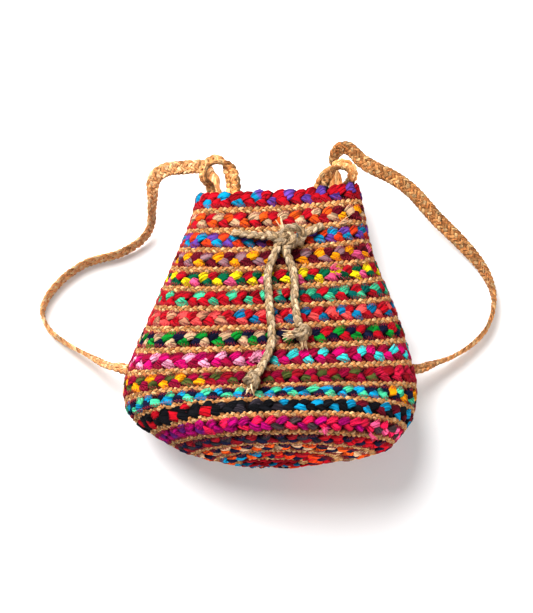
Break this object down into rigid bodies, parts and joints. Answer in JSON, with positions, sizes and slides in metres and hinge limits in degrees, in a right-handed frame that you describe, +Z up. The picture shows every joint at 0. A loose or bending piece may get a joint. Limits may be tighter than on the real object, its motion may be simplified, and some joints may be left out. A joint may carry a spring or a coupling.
{
  "type": "woven backpack",
  "caption": "Soft drawstring backpack coiled from multicoloured rag braids and jute braids, lying on its back, with jute shoulder straps.",
  "frame": {"origin": "middle of the outline on the floor, where the bag lies on its back", "axes": "+Z up from the floor, -Y from the mouth towards the base, +X towards the right in the picture"},
  "size_m": [0.4936, 0.3708, 0.1332],
  "materials": {
    "rag_red": "matte cotton rag",
    "rag_navy": "matte cotton rag",
    "rag_orange": "matte cotton rag",
    "rag_maroon": "matte cotton rag",
    "rag_magenta": "matte cotton rag",
    "rag_black": "matte cotton rag",
    "rag_blue": "matte cotton rag",
    "rag_yellow": "matte cotton rag",
    "rag_purple": "matte cotton rag",
    "jute": "dry jute fibre",
    "rope": "dry jute fibre, paler"
  },
  "bodies": {
    "root": {"base_core": "rag_red", "rag_turn_01": "rag_navy", "rag_turn_02": "rag_orange", "rag_turn_03": "rag_maroon", "rag_turn_04": "rag_magenta", "rag_turn_05": "rag_black", "rag_turn_06": "rag_blue", "rag_turn_07": "rag_maroon", "rag_turn_08": "rag_magenta", "rag_turn_09": "rag_navy", "rag_turn_10": "rag_red", "rag_turn_11": "rag_red", "rag_turn_12": "rag_yellow", "rag_turn_13": "rag_maroon", "rag_turn_14": "rag_purple", "rag_turn_15": "rag_red", "rag_turn_16": "rag_red", "jute_turn_01": "jute", "jute_turn_02": "jute", "jute_turn_03": "jute", "jute_turn_04": "jute", "jute_turn_05": "jute", "jute_turn_06": "jute", "jute_turn_07": "jute", "jute_turn_08": "jute", "jute_turn_09": "jute", "jute_turn_10": "jute", "jute_turn_11": "jute", "jute_turn_12": "jute", "jute_turn_13": "jute", "jute_turn_14": "jute", "jute_turn_15": "jute", "jute_turn_16": "jute", "shoulder_strap_left": "jute", "shoulder_strap_right": "jute", "top_loop_left": "jute", "top_loop_right": "jute", "drawstring": "rope", "drawstring_knot": "rope", "tail_left": "rope", "tail_right": "rope", "tail_knot_left": "rope", "tail_knot_right": "rope"}
  },
  "joints": []
}
